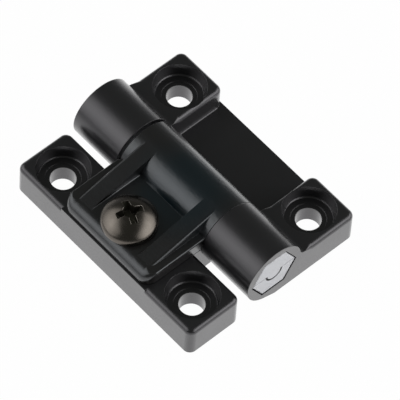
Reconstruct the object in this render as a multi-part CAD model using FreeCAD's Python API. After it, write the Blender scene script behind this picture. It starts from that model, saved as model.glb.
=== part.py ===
import FreeCAD, Part
import math
import os

from FreeCAD import Vector

# A torque hinge lying open flat, in millimetres. X runs along the pin,
# -Y points to the leaf with the adjusting screw, and Z rises from the
# mounting plane under both leaves.

# Leaves and their four mounting pads
leaf_length = 64.0
front_reach = 27.0
rear_reach = 27.0
pad_width = 15.6
pad_height = 9.2
pad_corner_radius = 2.0
pad_edge_radius = 1.4
pad_run_out = 2.2
pad_run_out_radius = 0.1
web_thickness = 2.4
web_foot_radius = 0.5

# Screw holes in the pads
mount_pitch = 47.5
mount_setback = 8.0
mount_hole_radius = 3.3
counterbore_depth = 4.0
counterbore_radius = 6.4
counterbore_draft = 0.45
counterbore_foot = 0.3
seat_ring_radius = 4.5
seat_ring_depth = 0.2

# Barrel and knuckles on the pin axis
pin_height = 9.4
barrel_radius = 8.6
barrel_gap_left = 1.0
barrel_gap_right = 0.1
knuckle_left = 15.6
knuckle_right = 16.5
heel_angle = 20.0
valley_radius = 2.0

# Two half shafts, keyed together by a rib and held in hexagon sockets
bore_radius = 6.0
bore_clearance = 0.08
socket_flats = 12.5
socket_clearance = 0.3
shaft_end_inset = 0.1
shaft_end_chamfer = 0.2
split_rise = 0.4
split_gap = 0.15
rib_radius = 2.3
rib_clearance = 0.2

# Clamp cover over the front leaf
clamp_gap = 0.2
cover_thickness = 3.6
cover_setback = 0.5
cover_overhang = 0.35
cover_corner_radius = 3.2
cover_front_radius = 3.0
cover_side_radius = 0.5
rail_inner = 8.7
rail_outer = 13.3
rail_edge_radius = 0.7
rail_foot_radius = 0.5
rail_sink = 0.01

# Adjusting screw and its nut
screw_setback = 8.4
head_radius = 7.15
head_edge_chamfer = 0.3
head_rim = 0.9
head_height = 5.0
head_shoulder_radius = 1.8
shank_radius = 2.95
shank_length = 12.0
shank_chamfer = 0.6
screw_hole_radius = 3.25
recess_turn = -20.7
recess_span = 6.9
recess_arm = 1.7
recess_core_radius = 1.3
recess_core_flare = 0.7
recess_depth = 3.2
recess_slope = 62.0
nut_flats = 10.0
nut_thickness = 5.0
nut_roof = 3.8
nut_bore_clearance = 0.05
nut_pocket_clearance = 0.15
nut_corner_chamfer = 0.5

# Room between the pieces as the leaves fold
fold_clearance = 0.5
pad_to_barrel = 2.15

leaf_half = leaf_length / 2
pad_inner = leaf_half - pad_width
knuckle_left_end = knuckle_left - leaf_half
knuckle_right_end = leaf_half - knuckle_right
barrel_from = knuckle_left_end + barrel_gap_left
barrel_to = knuckle_right_end - barrel_gap_right
pad_back = -barrel_radius - pad_to_barrel
counterbore_floor = pad_height - counterbore_depth
web_front = pin_height + fold_clearance
cover_floor = pad_height + clamp_gap
cover_top = cover_floor + cover_thickness
cover_front = cover_setback - front_reach
cover_side_start = cover_front + cover_corner_radius
cover_left = barrel_from - cover_overhang
screw_reach = front_reach - screw_setback
nut_seat = pad_height - nut_roof
front_mount_y = mount_setback - front_reach
rear_mount_y = rear_reach - mount_setback

# Cutting tools and blanks reach this far past the faces they cut
overshoot = 1.0


def box(x, y, z):
    size = [high - low for low, high in (x, y, z)]
    return Part.makeBox(*size, Vector(x[0], y[0], z[0]))


def rod(radius, x_from, x_to, z=pin_height):
    return Part.makeCylinder(radius, x_to - x_from, Vector(x_from, 0, z), Vector(1, 0, 0))


def post(radius, x, y, z_from, z_to):
    return Part.makeCylinder(radius, z_to - z_from, Vector(x, y, z_from))


def hexagon(flats, length, place, axis, corner):
    # corner is the direction of one corner, square to the axis
    side = axis.cross(corner)
    reach = flats / math.sqrt(3)
    points = []
    for step in range(7):
        turn = math.radians(60 * step)
        points.append(place + corner * (reach * math.cos(turn)) + side * (reach * math.sin(turn)))
    return Part.Face(Part.makePolygon(points)).extrude(axis * length)


def section_point(y, z):
    return Vector(0, y, z)


def on_circle(radius, degrees, y=0.0, z=pin_height):
    turn = math.radians(degrees)
    return section_point(y + radius * math.cos(turn), z + radius * math.sin(turn))


def line(start, end):
    return Part.LineSegment(start, end).toShape()


def arc(start, middle, end):
    return Part.Arc(start, middle, end).toShape()


def prism(edges, x_from, x_to):
    solid = Part.Face(Part.Wire(edges)).extrude(Vector(x_to - x_from, 0, 0))
    solid.translate(Vector(x_from, 0, 0))
    return solid


def mirrored(solid):
    return solid.mirror(Vector(0, 0, 0), Vector(1, 0, 0))


def joined(first, *others):
    return first.fuse(list(others)).removeSplitter()


def same(value, other):
    return abs(value - other) < 1e-6


def middle_of(edge):
    return edge.valueAt((edge.FirstParameter + edge.LastParameter) / 2)


def edges_along(solid, direction, **place):
    # Straight edges in one direction, picked by the coordinates of their midpoint
    found = []
    for edge in solid.Edges:
        if edge.Curve.TypeId != "Part::GeomLine":
            continue
        if edge.tangentAt(edge.FirstParameter).cross(direction).Length > 1e-6:
            continue
        middle = middle_of(edge)
        if all(same(getattr(middle, axis), value) for axis, value in place.items()):
            found.append(edge)
    return found


def hooded(place, x_low, x_high, depth, radius):
    # A section with its two upper edges rounded; place turns x and a depth into a point
    knee = radius * (1 - math.sqrt(0.5))
    return Part.Wire([
        line(place(x_low, depth), place(x_low, radius)),
        arc(place(x_low, radius), place(x_low + knee, knee), place(x_low + radius, 0)),
        line(place(x_low + radius, 0), place(x_high - radius, 0)),
        arc(place(x_high - radius, 0), place(x_high - knee, knee), place(x_high, radius)),
        line(place(x_high, radius), place(x_high, depth)),
        line(place(x_high, depth), place(x_low, depth)),
    ])


def turned(points, x, y):
    # A solid of revolution from (radius, height) points, closed along its own axis
    corners = [Vector(radius, 0, z) for radius, z in points]
    outline = Part.makePolygon(corners + corners[:1])
    solid = Part.Face(outline).revolve(Vector(0, 0, 0), Vector(0, 0, 1), 360)
    solid.translate(Vector(x, y, 0))
    return solid


def vary_fillet(solid, radii):
    # radii holds (edge number, radius at its start, radius at its end)
    document = FreeCAD.newDocument("fillet")
    source = document.addObject("Part::Feature", "source")
    source.Shape = solid
    feature = document.addObject("Part::Fillet", "rounded")
    feature.Base = source
    feature.Edges = radii
    document.recompute()
    rounded = feature.Shape.copy()
    FreeCAD.closeDocument(document.Name)
    return rounded


def heel_points():
    # The knuckle's underside leaves the circle on a tangent and meets the mounting plane
    tangent = on_circle(barrel_radius, 270 - heel_angle)
    heel = section_point(tangent.y + tangent.z / math.tan(math.radians(heel_angle)), 0)
    return tangent, heel


def knuckle(x_from, x_to):
    # The section of a knuckle, with a foot that runs into the web
    tangent, heel = heel_points()
    toe = section_point(web_front + web_thickness, 0)
    toe_top = section_point(toe.y, web_thickness)
    instep = section_point(barrel_radius, web_thickness)
    side = on_circle(barrel_radius, 0)
    edges = [
        line(tangent, heel),
        line(heel, toe),
        line(toe, toe_top),
        line(toe_top, instep),
        line(instep, side),
        arc(side, on_circle(barrel_radius, (270 - heel_angle) / 2), tangent),
    ]
    return prism(edges, x_from, x_to)


def valley_points():
    # The hollow between knuckle and pad is an arc that touches both
    z = pad_height + valley_radius
    y = math.sqrt((barrel_radius + valley_radius) ** 2 - (z - pin_height) ** 2)
    slope = math.degrees(math.atan2(z - pin_height, y))
    pad_start = section_point(y, pad_height)
    middle = on_circle(valley_radius, (270 + 180 + slope) / 2, y, z)
    return pad_start, middle, on_circle(barrel_radius, slope), slope


def rounded_pad(x, y, axis, closed, opened):
    # Round corners on the closed side, and a round rim on every side but the opened one
    pad = box(x, y, (0, pad_height))
    corners = edges_along(pad, Vector(0, 0, 1), **{axis: closed})
    pad = pad.makeFillet(pad_corner_radius, corners)
    rim = []
    for edge in pad.Edges:
        on_top = same(edge.BoundBox.ZMin, pad_height)
        if on_top and not same(getattr(middle_of(edge), axis), opened):
            rim.append(edge)
    return pad.makeFillet(pad_edge_radius, rim)


def end_block():
    # One knuckle and its pad; the pad's rim fades into the valley's sharp edges
    tangent, heel = heel_points()
    pad_start, middle, knuckle_foot, slope = valley_points()
    bottom = section_point(pad_start.y, 0)
    over = on_circle(barrel_radius, (slope + 270 - heel_angle) / 2)
    edges = [
        line(tangent, heel),
        line(heel, bottom),
        line(bottom, pad_start),
        arc(pad_start, middle, knuckle_foot),
        arc(knuckle_foot, over, tangent),
    ]
    neck = prism(edges, pad_inner, leaf_half)
    full = pad_start.y + pad_run_out

    def section(y, radius):
        def place(x, depth):
            return Vector(x, y, pad_height - depth)
        return hooded(place, pad_inner, leaf_half, pad_height, radius)

    sections = [section(pad_start.y, pad_run_out_radius), section(full, pad_edge_radius)]
    run_out = Part.makeLoft(sections, True, True)
    pad = rounded_pad((pad_inner, leaf_half), (full, rear_reach), "y", rear_reach, full)
    return joined(neck, run_out, pad)


def mount_cutter(x, y):
    # Screw hole, a shallow ring for the washer, and the drafted counterbore
    ring_floor = counterbore_floor - seat_ring_depth
    high = pad_height + overshoot
    rise = (high - counterbore_floor) / counterbore_depth
    return turned([
        (0, -overshoot),
        (mount_hole_radius, -overshoot),
        (mount_hole_radius, ring_floor),
        (seat_ring_radius, ring_floor),
        (seat_ring_radius, counterbore_floor),
        (counterbore_radius - counterbore_foot, counterbore_floor),
        (counterbore_radius, counterbore_floor + counterbore_foot),
        (counterbore_radius + counterbore_draft * rise, high),
        (0, high),
    ], x, y)


def web():
    # The thin floor between the rear pads, with a hollow at the foot of each pad's wall
    reach = pad_inner + pad_corner_radius
    foot = web_foot_radius
    knee = foot * (1 - math.sqrt(0.5))

    def outline_point(x, z):
        return Vector(x, web_front, z)

    def hollow(side):
        wall = outline_point(side * pad_inner, web_thickness + foot)
        middle = outline_point(side * (pad_inner - knee), web_thickness + knee)
        return wall, middle, outline_point(side * (pad_inner - foot), web_thickness)

    right, right_middle, right_foot = hollow(1)
    left, left_middle, left_foot = hollow(-1)
    low_right = outline_point(reach, 0)
    high_right = outline_point(reach, right.z)
    low_left = outline_point(-reach, 0)
    high_left = outline_point(-reach, left.z)
    edges = [
        line(low_left, low_right),
        line(low_right, high_right),
        line(high_right, right),
        arc(right, right_middle, right_foot),
        line(right_foot, left_foot),
        arc(left_foot, left_middle, left),
        line(left, high_left),
        line(high_left, low_left),
    ]
    straight = rear_reach - pad_corner_radius - web_front
    floor = Part.Face(Part.Wire(edges)).extrude(Vector(0, straight, 0))
    return floor.fuse(box((-reach, reach), (web_front, rear_reach), (0, web_thickness)))


def rear_leaf():
    block = end_block()
    left_knuckle = knuckle(-leaf_half + pad_corner_radius, knuckle_left_end)
    right_knuckle = knuckle(knuckle_right_end, leaf_half - pad_corner_radius)
    leaf = joined(block, mirrored(block), web(), right_knuckle, left_knuckle)
    for side in (-1, 1):
        leaf = leaf.cut(mount_cutter(side * mount_pitch / 2, rear_mount_y))
    socket = hexagon(socket_flats, leaf_length + 2 * overshoot,
                     Vector(-leaf_half - overshoot, 0, pin_height),
                     Vector(1, 0, 0), Vector(0, 1, 0))
    return leaf.cut(socket)


def front_center():
    # The bar and, behind it, the lower half of the barrel with its heel to the front
    tangent, heel = (Vector(0, -point.y, point.z) for point in heel_points())
    drop = pin_height - pad_height
    bore_edge = math.sqrt(bore_radius ** 2 - drop ** 2)
    barrel_edge = math.sqrt(barrel_radius ** 2 - drop ** 2)
    dip = math.degrees(math.asin(drop / barrel_radius))
    under = on_circle(barrel_radius, (270 + heel_angle + 360 - dip) / 2)
    bar_bottom = section_point(-front_reach, 0)
    bar_top = section_point(-front_reach, pad_height)
    edges = [
        line(heel, bar_bottom),
        line(bar_bottom, bar_top),
        line(bar_top, section_point(-bore_edge, pad_height)),
        arc(section_point(-bore_edge, pad_height), on_circle(bore_radius, 270),
            section_point(bore_edge, pad_height)),
        line(section_point(bore_edge, pad_height), section_point(barrel_edge, pad_height)),
        arc(section_point(barrel_edge, pad_height), under, tangent),
        line(tangent, heel),
    ]
    return prism(edges, barrel_from, barrel_to)


def front_leaf():
    inner = barrel_to - overshoot
    pad = rounded_pad((inner, leaf_half), (-front_reach, pad_back), "x", leaf_half, inner)
    leaf = joined(front_center(), pad, mirrored(pad))
    for side in (-1, 1):
        leaf = leaf.cut(mount_cutter(side * mount_pitch / 2, front_mount_y))
    pocket = hexagon(nut_flats + 2 * nut_pocket_clearance, nut_seat + overshoot,
                     Vector(0, -screw_reach, -overshoot), Vector(0, 0, 1), Vector(1, 0, 0))
    hole = post(screw_hole_radius, 0, -screw_reach, -overshoot, pad_height + overshoot)
    return leaf.cut([pocket, hole])


def plate_front():
    # The front of the cover, its round edge thinning out round the two corners
    radius = cover_corner_radius
    knee = radius * (1 - math.sqrt(0.5))
    left, right = cover_left, barrel_to

    def floor_point(x, y):
        return Vector(x, y, cover_floor)

    outline = Part.Wire([
        line(floor_point(right, cover_side_start), floor_point(left, cover_side_start)),
        arc(floor_point(left, cover_side_start), floor_point(left + knee, cover_front + knee),
            floor_point(left + radius, cover_front)),
        line(floor_point(left + radius, cover_front), floor_point(right - radius, cover_front)),
        arc(floor_point(right - radius, cover_front), floor_point(right - knee, cover_front + knee),
            floor_point(right, cover_side_start)),
    ])
    plate = Part.Face(outline).extrude(Vector(0, 0, cover_thickness))
    radii = []
    for number, edge in enumerate(plate.Edges, 1):
        bounds = edge.BoundBox
        if not same(bounds.ZMin, cover_top) or same(bounds.YMin, cover_side_start):
            continue
        if same(bounds.YLength, 0):
            radii.append((number, cover_front_radius, cover_front_radius))
        else:
            ends = (cover_front_radius, cover_side_radius)
            starts_in_front = same(edge.valueAt(edge.FirstParameter).y, cover_front)
            radii.append((number, *(ends if starts_in_front else ends[::-1])))
    return vary_fillet(plate, radii)


def plate_run(x_from, y_from, y_to):
    # A length of the plate behind its front, with its two upper edges rounded
    def place(x, depth):
        return Vector(x, y_from, cover_top - depth)

    outline = hooded(place, x_from, barrel_to, cover_thickness, cover_side_radius)
    return Part.Face(outline).extrude(Vector(0, y_to - y_from, 0))


def rails():
    # Two wedges that leave the barrel's top on a tangent and run out at the front of the plate
    run_out = section_point(cover_front + cover_front_radius, cover_top)
    arm = run_out - section_point(0, pin_height)
    crest_radius = barrel_radius - rail_sink
    crest_turn = math.atan2(arm.z, arm.y) - math.acos(crest_radius / arm.Length)
    start = on_circle(crest_radius, math.degrees(crest_turn))
    along = (run_out - start).normalize()
    up = Vector(1, 0, 0).cross(along) * -1

    def place(x, depth):
        return start + Vector(x, 0, 0) - up * depth

    outline = hooded(place, -rail_outer, rail_outer, cover_thickness, rail_edge_radius)
    length = (run_out - start).Length + rail_edge_radius
    wedge = Part.Face(outline).extrude(along * length)
    recess = box((-rail_inner, rail_inner), (-front_reach, 0), (cover_top, 2 * cover_top))
    floor_edges = edges_along(recess, Vector(0, 1, 0), z=cover_top)
    return wedge.cut(recess.makeFillet(rail_foot_radius, floor_edges))


def clamp_cover():
    barrel = rod(barrel_radius, barrel_from, barrel_to)
    plate = plate_run(cover_left, cover_side_start, -barrel_radius)
    back = plate_run(barrel_from, -barrel_radius, 0)
    cover = joined(plate_front(), plate, back, barrel, rails())
    upper_half = box((cover_left, barrel_to), (-front_reach, barrel_radius), (cover_floor, 2 * cover_top))
    cover = cover.common(upper_half)
    bore = rod(bore_radius, barrel_from - overshoot, barrel_to + overshoot)
    hole = post(screw_hole_radius, 0, -screw_reach, cover_floor - overshoot, cover_top + overshoot)
    return cover.cut([bore, hole])


def shaft():
    # Round through the barrel, a hexagon in each knuckle
    flats = socket_flats - 2 * socket_clearance
    middle = rod(bore_radius - bore_clearance, knuckle_left_end - socket_clearance,
                 knuckle_right_end + socket_clearance)
    ends = []
    for side, inner in ((-1, -knuckle_left_end), (1, knuckle_right_end)):
        start = inner + socket_clearance
        length = leaf_half - shaft_end_inset - start
        block = hexagon(flats, length, Vector(side * start, 0, pin_height),
                        Vector(side, 0, 0), Vector(0, 1, 0))
        face = side * (start + length)
        rim = [edge for edge in block.Edges if same(edge.BoundBox.XMin, face)
               and same(edge.BoundBox.XMax, face)]
        ends.append(block.makeChamfer(shaft_end_chamfer, rim))
    return joined(middle, *ends)


def shaft_halves():
    # The rib under the upper half lies in a groove along the lower one
    whole = shaft()
    split = pin_height + split_rise
    x = (-leaf_half, leaf_half)
    y = (-barrel_radius, barrel_radius)
    rib = rod(rib_radius, *x, z=split)
    groove = rod(rib_radius + rib_clearance, *x, z=split)
    upper = whole.common(joined(box(x, y, (split, 2 * pin_height)), rib))
    lower = whole.common(box(x, y, (0, split - split_gap))).cut(groove)
    return upper, lower


def cross_recess(apex, crown_radius):
    # Four arms whose ends slope in from the dome's surface to the floor
    half_span = recess_span / 2
    tip = apex - crown_radius + math.sqrt(crown_radius ** 2 - half_span ** 2)
    floor = apex - recess_depth
    high = apex + overshoot
    slope = math.tan(math.radians(recess_slope))
    outer = half_span + (high - tip) / slope
    inner = half_span - (tip - floor) / slope
    corners = [Vector(-outer, 0, high), Vector(outer, 0, high),
               Vector(inner, 0, floor), Vector(-inner, 0, floor), Vector(-outer, 0, high)]
    arm = Part.Face(Part.makePolygon(corners)).extrude(Vector(0, recess_arm, 0))
    arm.translate(Vector(0, -recess_arm / 2, 0))
    other = arm.copy()
    other.rotate(Vector(0, 0, 0), Vector(0, 0, 1), 90)
    core = Part.makeCone(recess_core_radius, recess_core_radius + recess_core_flare,
                         high - floor, Vector(0, 0, floor))
    cutter = arm.fuse([other, core])
    cutter.rotate(Vector(0, 0, 0), Vector(0, 0, 1), recess_turn)
    return cutter


def adjusting_screw():
    # The head has a short upright band, a round shoulder and a domed crown that touch
    seat = cover_top
    band_top = seat + head_rim
    apex = seat + head_height
    shoulder_reach = head_radius - head_shoulder_radius
    rise = apex - band_top
    spare = shoulder_reach ** 2 + rise ** 2 - head_shoulder_radius ** 2
    crown_radius = spare / (2 * (rise - head_shoulder_radius))
    centre = apex - crown_radius
    lean = math.atan2(shoulder_reach, band_top - centre)

    def on_crown(turn):
        return Vector(crown_radius * math.sin(turn), 0, centre + crown_radius * math.cos(turn))

    half_way = (lean + math.pi / 2) / 2
    shoulder = Vector(shoulder_reach + head_shoulder_radius * math.sin(half_way), 0,
                      band_top + head_shoulder_radius * math.cos(half_way))
    tip = seat - shank_length
    start = Vector(0, 0, tip)
    crown = Vector(0, 0, apex)
    band = Vector(head_radius, 0, band_top)
    corners = [
        start,
        Vector(shank_radius - shank_chamfer, 0, tip),
        Vector(shank_radius, 0, tip + shank_chamfer),
        Vector(shank_radius, 0, seat),
        Vector(head_radius - head_edge_chamfer, 0, seat),
        Vector(head_radius, 0, seat + head_edge_chamfer),
        band,
    ]
    edges = [line(here, there) for here, there in zip(corners, corners[1:])]
    edges.append(arc(band, shoulder, on_crown(lean)))
    edges.append(arc(on_crown(lean), on_crown(lean / 2), crown))
    edges.append(line(crown, start))
    screw = Part.Face(Part.Wire(edges)).revolve(Vector(0, 0, 0), Vector(0, 0, 1), 360)
    screw = screw.cut(cross_recess(apex, crown_radius))
    screw.translate(Vector(0, -screw_reach, 0))
    return screw


def captive_nut():
    base = nut_seat - nut_thickness
    place = Vector(0, -screw_reach, base)
    nut = hexagon(nut_flats, nut_thickness, place, Vector(0, 0, 1), Vector(1, 0, 0))
    corner = nut_flats / math.sqrt(3)
    drop = nut_corner_chamfer
    disc = Part.makeCylinder(corner, nut_thickness, place)
    rims = [edge for edge in disc.Edges if same(edge.BoundBox.ZLength, 0)]
    nut = nut.common(disc.makeChamfer(drop, rims))
    bore = post(shank_radius + nut_bore_clearance, 0, -screw_reach,
                base - overshoot, nut_seat + overshoot)
    return nut.cut(bore)


def main():
    upper, lower = shaft_halves()
    parts = {
        "rear_leaf": rear_leaf(),
        "front_leaf": front_leaf(),
        "clamp_cover": clamp_cover(),
        "shaft_half_upper": upper,
        "shaft_half_lower": lower,
        "adjusting_screw": adjusting_screw(),
        "captive_nut": captive_nut(),
    }
    os.makedirs("parts", exist_ok=True)
    for name, shape in parts.items():
        shape.exportStep(f"parts/{name}.step")
        print(name, "solids", len(shape.Solids), "valid", shape.isValid(), "volume", round(shape.Volume, 1))


main()
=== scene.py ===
import math

import bpy
from mathutils import Matrix, Vector


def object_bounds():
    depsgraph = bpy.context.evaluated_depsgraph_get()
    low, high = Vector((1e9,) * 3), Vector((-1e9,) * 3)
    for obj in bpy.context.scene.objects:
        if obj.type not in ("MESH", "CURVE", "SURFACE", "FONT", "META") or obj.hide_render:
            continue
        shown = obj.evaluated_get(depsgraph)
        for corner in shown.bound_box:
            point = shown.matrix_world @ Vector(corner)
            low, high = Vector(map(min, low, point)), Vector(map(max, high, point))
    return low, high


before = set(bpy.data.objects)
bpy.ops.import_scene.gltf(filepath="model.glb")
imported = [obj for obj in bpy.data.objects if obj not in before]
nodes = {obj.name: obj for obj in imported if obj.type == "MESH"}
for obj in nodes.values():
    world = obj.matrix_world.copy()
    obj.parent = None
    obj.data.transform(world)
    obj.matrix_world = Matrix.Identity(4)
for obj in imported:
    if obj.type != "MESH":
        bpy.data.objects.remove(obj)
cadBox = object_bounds()
print("frame loaded:", ", ".join(sorted(nodes)))

mmPerMetre = 1000
noiseLow = 0.3     # a noise node's values lie mostly between these two
noiseHigh = 0.7


# From the hex value of a colour on screen to the linear one that a shader takes
def toLinear(hexColour):
    channels = [int(hexColour[i:i + 2], 16) / 255 for i in (1, 3, 5)]
    linear = [c / 12.92 if c <= 0.04045 else ((c + 0.055) / 1.055) ** 2.4 for c in channels]
    return (*linear, 1.0)


# Each input is a value to set, or another node's socket to link
def addNode(tree, kind, inputs=None, **settings):
    node = tree.nodes.new(kind)
    for name, value in settings.items():
        setattr(node, name, value)
    for socket, value in (inputs or {}).items():
        if isinstance(value, bpy.types.NodeSocket):
            tree.links.new(value, node.inputs[socket])
        else:
            node.inputs[socket].default_value = value
    return node


# A new material, its empty tree, and the place of each point on the object in metres
def startMaterial(name):
    material = bpy.data.materials.new(name)
    material.use_nodes = True
    tree = material.node_tree
    tree.nodes.clear()
    return material, tree, addNode(tree, "ShaderNodeTexCoord").outputs["Object"]


def dress(nodeName, material):
    slots = nodes[nodeName].data.materials
    slots.clear()
    slots.append(material)


# Leaves and cover: glass-filled acetal, injection moulded in a finely spark-eroded tool.
# It gives a near-black body under a resin-rich skin, which throws back the white table
# on its steep faces and a thin line of light along every moulded edge.
acetal = {
    "ior": 1.5,
    "skinIor": 1.5,
    "roughnessLow": 0.28,
    "roughnessHigh": 0.36,
    "edgeSamples": 6,
    "grainMm": 0.35,          # real grain is near 0.05 mm; drawn this coarse so that it shows
    "grainDetail": 2.0,
    "grainLiftMm": 0.008,
    "grainShare": 0.5,
    "markMm": 0.75,           # the tool's polishing marks, along the hinge axis, drawn coarse too
    "markLengthMm": 1.8,
    "markDetail": 2.0,
    "markLiftMm": 0.035,
    "flowMm": 9.0,            # slow change of gloss where the melt ran
    "flowDetail": 3.0,
    "gateMm": (3, -3, 13),    # the melt came in here, and the colour is cooler round it
    "gateNearMm": 9.0,
    "gateFarMm": 19.0,
    "gateWaverMm": 5.0,       # how far the flow shifts the border of the cooler part
}

leafFinish = {
    "colour": "#1a1a1b",
    "farColour": "#1f1f20",   # away from the gate
    "sheen": "#f6f0fb",
    "skinRoughness": 0.25,
    "edgeMm": 0.2,            # how far the tool's edges are rounded
    "markShare": 0.3,
}

coverFinish = {
    "colour": "#0a181d",
    "farColour": "#1d1b1a",
    "sheen": "#dbe6f2",
    "skinRoughness": 0.2,
    "edgeMm": 0.08,
    "markShare": 1.0,
}


def makeMouldedAcetal(name, finish):
    material, tree, place = startMaterial(name)
    flow = addNode(tree, "ShaderNodeTexNoise",
                   {"Vector": place, "Scale": mmPerMetre / acetal["flowMm"],
                    "Detail": acetal["flowDetail"]})
    grain = addNode(tree, "ShaderNodeTexNoise",
                    {"Vector": place, "Scale": mmPerMetre / acetal["grainMm"],
                     "Detail": acetal["grainDetail"]})
    drawnOut = addNode(tree, "ShaderNodeMapping",
                       {"Vector": place, "Scale": (acetal["markMm"] / acetal["markLengthMm"], 1, 1)})
    marks = addNode(tree, "ShaderNodeTexNoise",
                    {"Vector": drawnOut.outputs["Vector"], "Scale": mmPerMetre / acetal["markMm"],
                     "Detail": acetal["markDetail"]})
    rough = addNode(tree, "ShaderNodeMapRange",
                    {"Value": flow.outputs["Fac"], "From Min": noiseLow, "From Max": noiseHigh,
                     "To Min": acetal["roughnessLow"], "To Max": acetal["roughnessHigh"]})

    # Tint: from the gate outwards, with a border that wavers with the flow
    fromGate = addNode(tree, "ShaderNodeVectorMath",
                       {0: place, 1: tuple(v / mmPerMetre for v in acetal["gateMm"])},
                       operation="DISTANCE")
    wavering = addNode(tree, "ShaderNodeMath",
                       {0: flow.outputs["Fac"], 1: acetal["gateWaverMm"] / mmPerMetre,
                        2: fromGate.outputs["Value"]}, operation="MULTIPLY_ADD")
    away = addNode(tree, "ShaderNodeMapRange",
                   {"Value": wavering.outputs["Value"],
                    "From Min": acetal["gateNearMm"] / mmPerMetre,
                    "From Max": acetal["gateFarMm"] / mmPerMetre}, interpolation_type="SMOOTHSTEP")
    tint = addNode(tree, "ShaderNodeMix",
                   {"Factor": away.outputs["Result"], "A": toLinear(finish["colour"]),
                    "B": toLinear(finish["farColour"])}, data_type="RGBA")

    # Surface: rounded edges, then the tool's polishing marks, then its eroded grain
    edge = addNode(tree, "ShaderNodeBevel", {"Radius": finish["edgeMm"] / mmPerMetre},
                   samples=acetal["edgeSamples"])
    polished = addNode(tree, "ShaderNodeBump",
                       {"Height": marks.outputs["Fac"], "Strength": finish["markShare"],
                        "Distance": acetal["markLiftMm"] / mmPerMetre,
                        "Normal": edge.outputs["Normal"]})
    eroded = addNode(tree, "ShaderNodeBump",
                     {"Height": grain.outputs["Fac"], "Strength": acetal["grainShare"],
                      "Distance": acetal["grainLiftMm"] / mmPerMetre,
                      "Normal": polished.outputs["Normal"]})
    shader = addNode(tree, "ShaderNodeBsdfPrincipled",
                     {"Base Color": tint.outputs["Result"], "Roughness": rough.outputs["Result"],
                      "Normal": eroded.outputs["Normal"], "IOR": acetal["ior"],
                      "Specular Tint": toLinear(finish["sheen"]),
                      "Coat Weight": 1.0, "Coat IOR": acetal["skinIor"],
                      "Coat Roughness": finish["skinRoughness"],
                      "Coat Normal": eroded.outputs["Normal"]})
    addNode(tree, "ShaderNodeOutputMaterial", {"Surface": shader.outputs["BSDF"]})
    return material


leafAcetal = makeMouldedAcetal("black moulded acetal", leafFinish)
dress("rear_leaf", leafAcetal)
dress("front_leaf", leafAcetal)
dress("clamp_cover", makeMouldedAcetal("black moulded acetal cover", coverFinish))
print("leaves and cover in moulded acetal")


# Shaft halves: natural acetal rod, sawn and faced at the ends.
# It reads as a milky blue-white with very fine facing marks, and a painted shade lines the joint.
shaftRod = {
    "colour": "#f0f0f4",
    "colourShade": "#e4e5eb",
    "cloudMm": 4.0,
    "cloudDetail": 3.0,
    "ior": 1.48,
    "roughness": 0.42,
    "markMm": 0.3,               # real facing marks are near 0.1 mm; drawn coarse so that they show
    "markDetail": 2.0,
    "markLiftMm": 0.004,
    "markShare": 0.4,
    "jointShadeColour": "#1b1a1c",   # painted shade in the joint between the halves
    "splitMm": 9.8,              # height of the joint, and centre of the rib
    "ribMm": 2.4,                # radius at which the rib and its groove part
    "ribShadeMm": 0.3,          # the painted shade line reaches this far to each side
    "splitShadeMm": 0.1,
    "splitShadeShare": 0.5,
}


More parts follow.
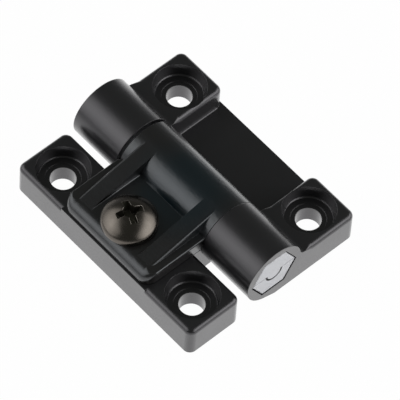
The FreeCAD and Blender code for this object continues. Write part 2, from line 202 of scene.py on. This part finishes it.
def makeFacedRod():
    material, tree, place = startMaterial("faced natural acetal")
    marks = addNode(tree, "ShaderNodeTexNoise",
                    {"Vector": place, "Scale": mmPerMetre / shaftRod["markMm"],
                     "Detail": shaftRod["markDetail"]})
    cloud = addNode(tree, "ShaderNodeTexNoise",
                    {"Vector": place, "Scale": mmPerMetre / shaftRod["cloudMm"],
                     "Detail": shaftRod["cloudDetail"]})
    tint = addNode(tree, "ShaderNodeMix",
                   {"Factor": cloud.outputs["Fac"], "A": toLinear(shaftRod["colour"]),
                    "B": toLinear(shaftRod["colourShade"])}, data_type="RGBA")

    # Painted shade: dark under the rib, thinner along the level joint on both sides of it
    fromRib = addNode(tree, "ShaderNodeMapping",
                      {"Vector": place, "Location": (0, 0, -shaftRod["splitMm"] / mmPerMetre),
                       "Scale": (0, 1, 1)})
    radius = addNode(tree, "ShaderNodeVectorMath", {0: fromRib.outputs["Vector"]}, operation="LENGTH")
    height = addNode(tree, "ShaderNodeSeparateXYZ", {"Vector": fromRib.outputs["Vector"]})
    atRadius = addNode(tree, "ShaderNodeMath",
                       {0: radius.outputs["Value"], 1: shaftRod["ribMm"] / mmPerMetre,
                        2: shaftRod["ribShadeMm"] / mmPerMetre}, operation="COMPARE")
    below = addNode(tree, "ShaderNodeMath", {0: height.outputs["Z"], 1: 0.0}, operation="LESS_THAN")
    underRib = addNode(tree, "ShaderNodeMath",
                       {0: atRadius.outputs["Value"], 1: below.outputs["Value"]},
                       operation="MULTIPLY")
    atHeight = addNode(tree, "ShaderNodeMath",
                       {0: height.outputs["Z"], 1: 0.0,
                        2: shaftRod["splitShadeMm"] / mmPerMetre}, operation="COMPARE")
    besideRib = addNode(tree, "ShaderNodeMath",
                        {0: radius.outputs["Value"], 1: shaftRod["ribMm"] / mmPerMetre},
                        operation="GREATER_THAN")
    joint = addNode(tree, "ShaderNodeMath",
                    {0: atHeight.outputs["Value"], 1: besideRib.outputs["Value"]},
                    operation="MULTIPLY")
    thinJoint = addNode(tree, "ShaderNodeMath",
                        {0: joint.outputs["Value"], 1: shaftRod["splitShadeShare"]},
                        operation="MULTIPLY")
    jointShade = addNode(tree, "ShaderNodeMath",
                     {0: underRib.outputs["Value"], 1: thinJoint.outputs["Value"]},
                     operation="MAXIMUM")
    # the painted shade is mixed over the rod's own colour here
    shadedJoint = addNode(tree, "ShaderNodeMix",
                      {"Factor": jointShade.outputs["Value"], "A": tint.outputs["Result"],
                       "B": toLinear(shaftRod["jointShadeColour"])}, data_type="RGBA")

    faced = addNode(tree, "ShaderNodeBump",
                    {"Height": marks.outputs["Fac"], "Strength": shaftRod["markShare"],
                     "Distance": shaftRod["markLiftMm"] / mmPerMetre})
    shader = addNode(tree, "ShaderNodeBsdfPrincipled",
                     {"Base Color": shadedJoint.outputs["Result"], "Roughness": shaftRod["roughness"],
                      "Normal": faced.outputs["Normal"], "IOR": shaftRod["ior"]})
    addNode(tree, "ShaderNodeOutputMaterial", {"Surface": shader.outputs["BSDF"]})
    return material


facedRod = makeFacedRod()
dress("shaft_half_upper", facedRod)
dress("shaft_half_lower", facedRod)
print("shaft halves in natural acetal")


# Adjusting screw: steel, cold headed and plated in black nickel.
# The plating is smooth and slightly brown, so it mirrors the lamps as warm patches. It is
# paler on its edges, as worn steel and a painted highlight, and thin and matt down in the cross.
plating = {
    "colour": "#706a64",
    "colourThin": "#5f5a54",
    "wornAndGlintColour": "#a39d95",             # steel that shows through on the edges, and a painted edge highlight
    "recessColour": "#57554c",
    "roughnessLow": 0.20,
    "roughnessHigh": 0.30,
    "recessRoughness": 0.5,
    "cloudMm": 2.5,
    "cloudDetail": 4.0,
    "headingMm": 0.4,                    # the punch leaves a finer texture; drawn coarse to show
    "headingDetail": 2.0,
    "headingLiftMm": 0.003,
    "headingShare": 0.4,
    "edgeMm": 0.18,
    "edgeSamples": 8,
    "wornAndGlintFrom": 0.97,                    # cosine of the turn that rounding an edge gives its normal
    "wornAndGlintTo": 0.8,
    "domeCenterMm": (0, -18.6, 8.83),
    "domeMm": 9.17,                      # radius of the crown; the cross lies deeper than that
    "recessFromMm": 0.1,
    "recessToMm": 0.4,
    "crossMm": 3.7,                      # the cross lies this near the screw's axis
}


def makeBlackNickel():
    material, tree, place = startMaterial("black nickel plated steel")
    cloud = addNode(tree, "ShaderNodeTexNoise",
                    {"Vector": place, "Scale": mmPerMetre / plating["cloudMm"],
                     "Detail": plating["cloudDetail"]})
    heading = addNode(tree, "ShaderNodeTexNoise",
                      {"Vector": place, "Scale": mmPerMetre / plating["headingMm"],
                       "Detail": plating["headingDetail"]})
    rough = addNode(tree, "ShaderNodeMapRange",
                    {"Value": cloud.outputs["Fac"], "From Min": noiseLow, "From Max": noiseHigh,
                     "To Min": plating["roughnessLow"], "To Max": plating["roughnessHigh"]})
    tint = addNode(tree, "ShaderNodeMix",
                   {"Factor": cloud.outputs["Fac"], "A": toLinear(plating["colour"]),
                    "B": toLinear(plating["colourThin"])}, data_type="RGBA")

    # Worn edges and a painted highlight: paler where rounding turns the normal away from the face's
    # own
    edge = addNode(tree, "ShaderNodeBevel", {"Radius": plating["edgeMm"] / mmPerMetre},
                   samples=plating["edgeSamples"])
    plain = addNode(tree, "ShaderNodeNewGeometry")
    turned = addNode(tree, "ShaderNodeVectorMath",
                     {0: edge.outputs["Normal"], 1: plain.outputs["Normal"]},
                     operation="DOT_PRODUCT")
    wornAndGlint = addNode(tree, "ShaderNodeMapRange",
                   {"Value": turned.outputs["Value"], "From Min": plating["wornAndGlintFrom"],
                    "From Max": plating["wornAndGlintTo"]})

    # Recess: below the crown, and near the screw's axis
    fromDome = addNode(tree, "ShaderNodeMapping",
                       {"Vector": place,
                        "Location": tuple(-v / mmPerMetre for v in plating["domeCenterMm"])})
    reach = addNode(tree, "ShaderNodeVectorMath", {0: fromDome.outputs["Vector"]},
                    operation="LENGTH")
    below = addNode(tree, "ShaderNodeMapRange",
                    {"Value": reach.outputs["Value"],
                     "From Min": (plating["domeMm"] - plating["recessFromMm"]) / mmPerMetre,
                     "From Max": (plating["domeMm"] - plating["recessToMm"]) / mmPerMetre})
    level = addNode(tree, "ShaderNodeVectorMath", {0: fromDome.outputs["Vector"], 1: (1, 1, 0)},
                    operation="MULTIPLY")
    aside = addNode(tree, "ShaderNodeVectorMath", {0: level.outputs["Vector"]}, operation="LENGTH")
    within = addNode(tree, "ShaderNodeMath",
                     {0: aside.outputs["Value"], 1: plating["crossMm"] / mmPerMetre},
                     operation="LESS_THAN")
    recess = addNode(tree, "ShaderNodeMath",
                     {0: below.outputs["Result"], 1: within.outputs["Value"]},
                     operation="MULTIPLY")

    inRecess = addNode(tree, "ShaderNodeMix",
                       {"Factor": recess.outputs["Value"], "A": tint.outputs["Result"],
                        "B": toLinear(plating["recessColour"])}, data_type="RGBA")
    # worn steel and painted highlight on the edges
    onEdges = addNode(tree, "ShaderNodeMix",
                      {"Factor": wornAndGlint.outputs["Result"], "A": inRecess.outputs["Result"],
                       "B": toLinear(plating["wornAndGlintColour"])}, data_type="RGBA")
    matt = addNode(tree, "ShaderNodeMix",
                   {"Factor": recess.outputs["Value"], "A": rough.outputs["Result"],
                    "B": plating["recessRoughness"]}, data_type="FLOAT")
    headed = addNode(tree, "ShaderNodeBump",
                     {"Height": heading.outputs["Fac"], "Strength": plating["headingShare"],
                      "Distance": plating["headingLiftMm"] / mmPerMetre,
                      "Normal": edge.outputs["Normal"]})
    shader = addNode(tree, "ShaderNodeBsdfPrincipled",
                     {"Base Color": onEdges.outputs["Result"], "Roughness": matt.outputs["Result"],
                      "Normal": headed.outputs["Normal"], "Metallic": 1.0})
    addNode(tree, "ShaderNodeOutputMaterial", {"Surface": shader.outputs["BSDF"]})
    return material


dress("adjusting_screw", makeBlackNickel())
print("screw in black nickel")


# Captive nut: steel, hot formed and bright zinc plated, with a crystalline bluish bloom
zinc = {
    "colour": "#c3c7cb",
    "colourBloom": "#a9aeb6",
    "roughnessLow": 0.30,
    "roughnessHigh": 0.45,
    "crystalMm": 0.8,    # the real bloom is finer; drawn coarse to show
}


def makeZinc():
    material, tree, place = startMaterial("bright zinc plated steel")
    crystal = addNode(tree, "ShaderNodeTexVoronoi",
                      {"Vector": place, "Scale": mmPerMetre / zinc["crystalMm"]})
    rough = addNode(tree, "ShaderNodeMapRange",
                    {"Value": crystal.outputs["Distance"], "To Min": zinc["roughnessLow"],
                     "To Max": zinc["roughnessHigh"]})
    tint = addNode(tree, "ShaderNodeMix",
                   {"Factor": crystal.outputs["Distance"], "A": toLinear(zinc["colour"]),
                    "B": toLinear(zinc["colourBloom"])}, data_type="RGBA")
    shader = addNode(tree, "ShaderNodeBsdfPrincipled",
                     {"Base Color": tint.outputs["Result"], "Roughness": rough.outputs["Result"],
                      "Metallic": 1.0})
    addNode(tree, "ShaderNodeOutputMaterial", {"Surface": shader.outputs["BSDF"]})
    return material


dress("captive_nut", makeZinc())
print("nut in zinc")


# White table, which polished faces see darken away from the object, and a dim room round it.
# Lengths are in metres, and the room's heights are the sines of the angles above the horizon.
studio = {
    "tableSize": 6.0,
    "tableColour": "#ededed",
    "tableShare": 0.985,      # how much of the table's white is its own, so a trace of shadow stays
    "brightRadius": 0.06,
    "dimRadius": 0.13,
    "dimShare": 0.36,         # what polished faces see of the table past dimRadius
    "backdropColour": "#ffffff",
    "horizonColour": "#7c7d7f",
    "ceilingColour": "#555754",
    "horizonHeight": -0.05,
    "ceilingHeight": 0.45,
}


def makeTable():
    bpy.ops.object.select_all(action="DESELECT")
    bpy.ops.mesh.primitive_plane_add(size=studio["tableSize"], location=(0, 0, cadBox[0][2]))
    table = bpy.context.object
    table.name = "table"
    material, tree, place = startMaterial("matt white table")

    # The camera sees the white itself, polished faces see it fade, and all else is lit paper
    rays = addNode(tree, "ShaderNodeLightPath")
    radius = addNode(tree, "ShaderNodeVectorMath", {0: place}, operation="LENGTH")
    sheen = addNode(tree, "ShaderNodeMapRange",
                    {"Value": radius.outputs["Value"], "From Min": studio["brightRadius"],
                     "From Max": studio["dimRadius"], "To Min": studio["tableShare"],
                     "To Max": studio["dimShare"]}, interpolation_type="SMOOTHSTEP")
    mirrored = addNode(tree, "ShaderNodeMath",
                       {0: rays.outputs["Is Glossy Ray"], 1: sheen.outputs["Result"]},
                       operation="MULTIPLY")
    straight = addNode(tree, "ShaderNodeMath",
                       {0: rays.outputs["Is Camera Ray"], 1: rays.outputs["Is Transmission Ray"]},
                       operation="MAXIMUM")
    seen = addNode(tree, "ShaderNodeMath",
                   {0: straight.outputs["Value"], 1: studio["tableShare"]}, operation="MULTIPLY")
    share = addNode(tree, "ShaderNodeMath",
                    {0: seen.outputs["Value"], 1: mirrored.outputs["Value"]}, operation="MAXIMUM")
    paper = addNode(tree, "ShaderNodeBsdfDiffuse", {"Color": toLinear(studio["tableColour"])})
    glow = addNode(tree, "ShaderNodeEmission")
    mix = addNode(tree, "ShaderNodeMixShader",
                  {0: share.outputs["Value"], 1: paper.outputs["BSDF"], 2: glow.outputs["Emission"]})
    addNode(tree, "ShaderNodeOutputMaterial", {"Surface": mix.outputs["Shader"]})
    table.data.materials.append(material)


def makeRoom():
    world = bpy.data.worlds.new("studio")
    bpy.context.scene.world = world
    world.use_nodes = True
    tree = world.node_tree
    tree.nodes.clear()

    # The camera sees a plain backdrop, and the room only shows in reflections and shade
    rays = addNode(tree, "ShaderNodeLightPath")
    towards = addNode(tree, "ShaderNodeTexCoord")
    aim = addNode(tree, "ShaderNodeSeparateXYZ", {"Vector": towards.outputs["Generated"]})
    height = addNode(tree, "ShaderNodeMapRange",
                     {"Value": aim.outputs["Z"], "From Min": studio["horizonHeight"],
                      "From Max": studio["ceilingHeight"]}, interpolation_type="SMOOTHSTEP")
    room = addNode(tree, "ShaderNodeMix",
                   {"Factor": height.outputs["Result"], "A": toLinear(studio["horizonColour"]),
                    "B": toLinear(studio["ceilingColour"])}, data_type="RGBA")
    colour = addNode(tree, "ShaderNodeMix",
                     {"Factor": rays.outputs["Is Camera Ray"], "A": room.outputs["Result"],
                      "B": toLinear(studio["backdropColour"])}, data_type="RGBA")
    backdrop = addNode(tree, "ShaderNodeBackground", {"Color": colour.outputs["Result"]})
    addNode(tree, "ShaderNodeOutputWorld", {"Surface": backdrop.outputs["Background"]})


makeTable()
makeRoom()
print("table and room")


# Two large soft boxes, left and right of the camera, aimed at the object.
# Azimuth is from +X towards +Y, and lengths are in metres.
softBox = {
    "distance": 1.3,
    "width": 2.2,
    "middle": (0.5, 0.5, 0),    # in shares of its width and height
    "rimReach": 0.55,           # the same, from the middle
    "middleGlow": 1.35,         # the cloth is brightest over the lamp
    "rimGlow": 0.6,
    "sides": {
        "left": {"azimuth": -137, "elevation": 33, "height": 1.32, "watts": 12.3},
        "right": {"azimuth": 40, "elevation": 28, "height": 1.05, "watts": 14.3},
    },
}


def placeSoftBox(name, side):
    light = bpy.data.lights.new(name, "AREA")
    light.shape = "RECTANGLE"
    light.size = softBox["width"]
    light.size_y = side["height"]
    light.energy = side["watts"]
    light.use_nodes = True
    tree = light.node_tree
    tree.nodes.clear()
    cloth = addNode(tree, "ShaderNodeNewGeometry")
    fromMiddle = addNode(tree, "ShaderNodeVectorMath",
                         {0: cloth.outputs["Parametric"], 1: softBox["middle"]},
                         operation="DISTANCE")
    strength = addNode(tree, "ShaderNodeMapRange",
                       {"Value": fromMiddle.outputs["Value"], "From Max": softBox["rimReach"],
                        "To Min": softBox["middleGlow"], "To Max": softBox["rimGlow"]},
                       interpolation_type="SMOOTHSTEP")
    glow = addNode(tree, "ShaderNodeEmission", {"Strength": strength.outputs["Result"]})
    addNode(tree, "ShaderNodeOutputLight", {"Surface": glow.outputs["Emission"]})
    lamp = bpy.data.objects.new(name, light)
    bpy.context.scene.collection.objects.link(lamp)
    turn = math.radians(side["azimuth"])
    rise = math.radians(side["elevation"])
    away = Vector((math.cos(turn) * math.cos(rise), math.sin(turn) * math.cos(rise), math.sin(rise)))
    lamp.location = away * softBox["distance"]
    lamp.rotation_euler = away.to_track_quat("Z", "Y").to_euler()


for sideName, side in softBox["sides"].items():
    placeSoftBox("softBox." + sideName, side)
print("soft boxes")


# Long lens from the front right, above; angles are in degrees and lengths in metres
view = {
    "azimuth": 44.79,        # from behind -Y, round towards +X
    "elevation": 56.467,
    "roll": 4.257,
    "distance": 1.314747,
    "offsetX": 0.003735,     # of the camera from the line through the origin
    "offsetY": 0.002471,
    "focalPixels": 5365.578,
    "imagePixels": 400,
    "sensorMm": 36.0,
}


def placeCamera():
    turn = math.radians(view["azimuth"])
    rise = math.radians(view["elevation"])
    back = Vector((math.sin(turn) * math.cos(rise), -math.cos(turn) * math.cos(rise), math.sin(rise)))
    levelRight = Vector((math.cos(turn), math.sin(turn), 0))
    levelUp = back.cross(levelRight)
    roll = math.radians(view["roll"])
    right = levelRight * math.cos(roll) + levelUp * math.sin(roll)
    up = levelUp * math.cos(roll) - levelRight * math.sin(roll)
    lens = bpy.data.cameras.new("camera")
    lens.sensor_width = view["sensorMm"]
    lens.lens = view["focalPixels"] * view["sensorMm"] / view["imagePixels"]
    camera = bpy.data.objects.new("camera", lens)
    bpy.context.scene.collection.objects.link(camera)
    spot = back * view["distance"] + right * view["offsetX"] + up * view["offsetY"]
    turned = Matrix((right, up, back)).transposed().to_4x4()
    camera.matrix_world = Matrix.Translation(spot) @ turned
    bpy.context.scene.camera = camera


placeCamera()
bpy.context.scene.view_settings.view_transform = "Standard"
print("camera")
